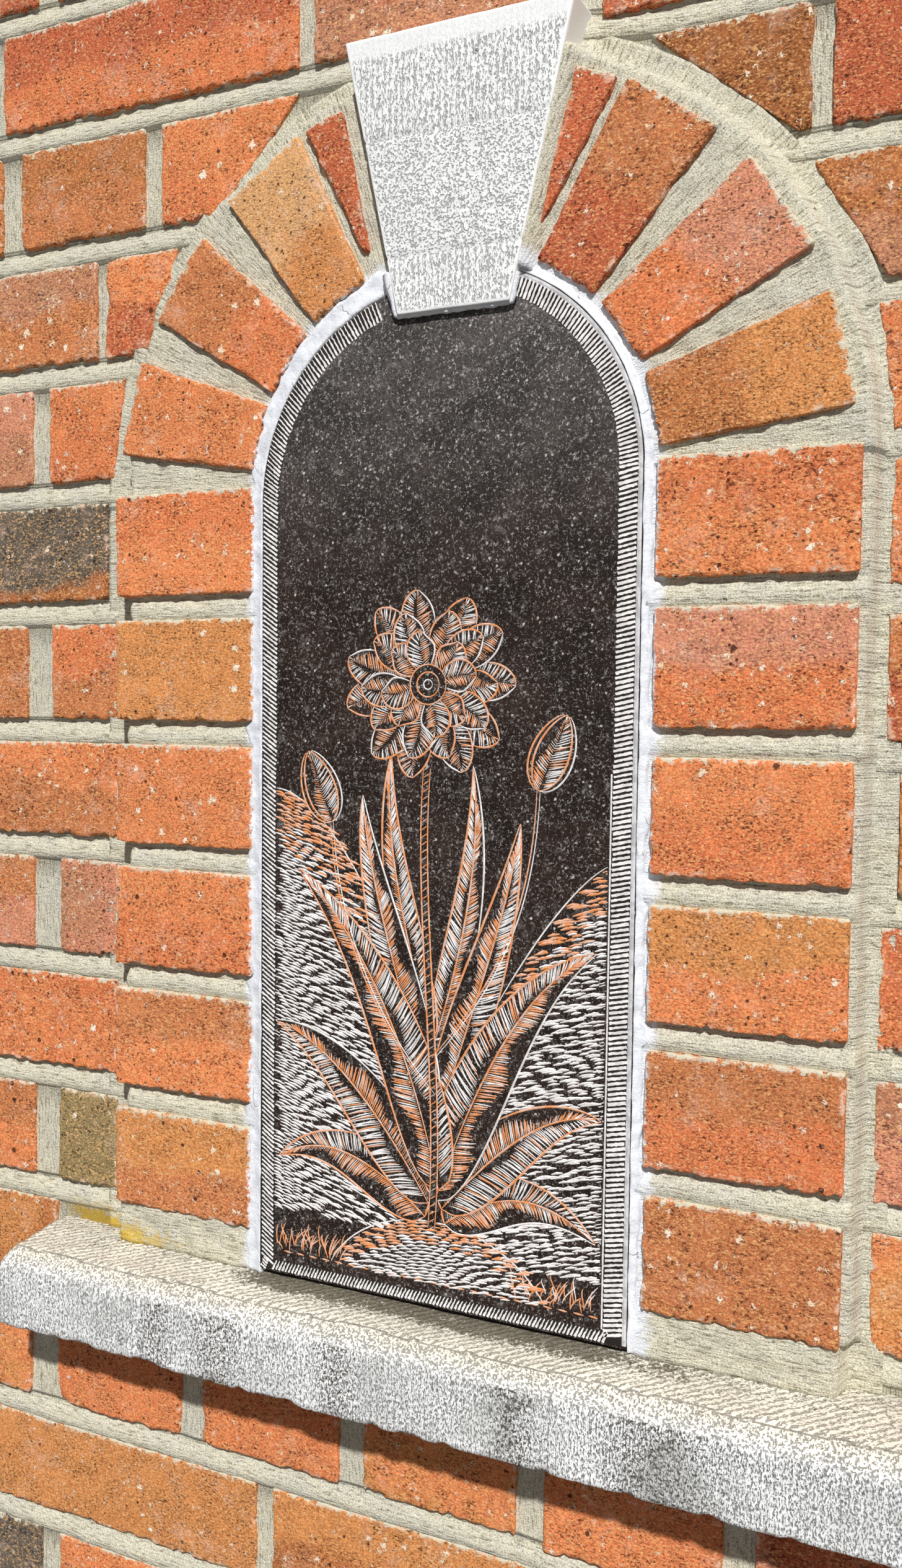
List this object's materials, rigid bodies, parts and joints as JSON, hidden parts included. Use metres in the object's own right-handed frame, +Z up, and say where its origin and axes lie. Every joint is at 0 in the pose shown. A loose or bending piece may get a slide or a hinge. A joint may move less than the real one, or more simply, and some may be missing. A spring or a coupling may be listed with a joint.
{
  "type": "wayside shrine",
  "caption": "Brick wayside shrine: an engraved, round-headed dark stone panel in a projecting brick surround with stone keystone and sill, on its own wall.",
  "frame": {"origin": "on the ground, under the centre of the wall's length and thickness", "axes": "+Z up; the panel faces -Y; +X to the right when facing the panel"},
  "size_m": [1.028, 0.379, 2.1385],
  "materials": {
    "brick": "matt, fired clay",
    "mortar": "sandy, matt",
    "white_mortar": "smooth, matt",
    "dark_stone": "honed",
    "light_stone": "tooled, weathered"
  },
  "bodies": {
    "root": {"wall_base": "brick", "wall_left": "brick", "wall_right": "brick", "wall_back": "brick", "wall_top": "brick", "capping": "brick", "panel_backing": "brick", "panel_bed": "mortar", "panel": "dark_stone", "panel_pointing": "white_mortar", "surround_mortar": "mortar", "sill": "light_stone", "sill_mortar": "mortar", "keystone": "light_stone", "sliver_left": "brick", "sliver_right": "brick", "jamb_left_1": "brick", "jamb_left_2": "brick", "jamb_left_3": "brick", "jamb_left_4": "brick", "jamb_left_5": "brick", "jamb_left_6": "brick", "voussoir_left_1": "brick", "voussoir_left_2": "brick", "voussoir_left_3": "brick", "jamb_right_1": "brick", "jamb_right_2": "brick", "jamb_right_3": "brick", "jamb_right_4": "brick", "jamb_right_5": "brick", "jamb_right_6": "brick", "voussoir_right_1": "brick", "voussoir_right_2": "brick", "voussoir_right_3": "brick"}
  },
  "joints": []
}
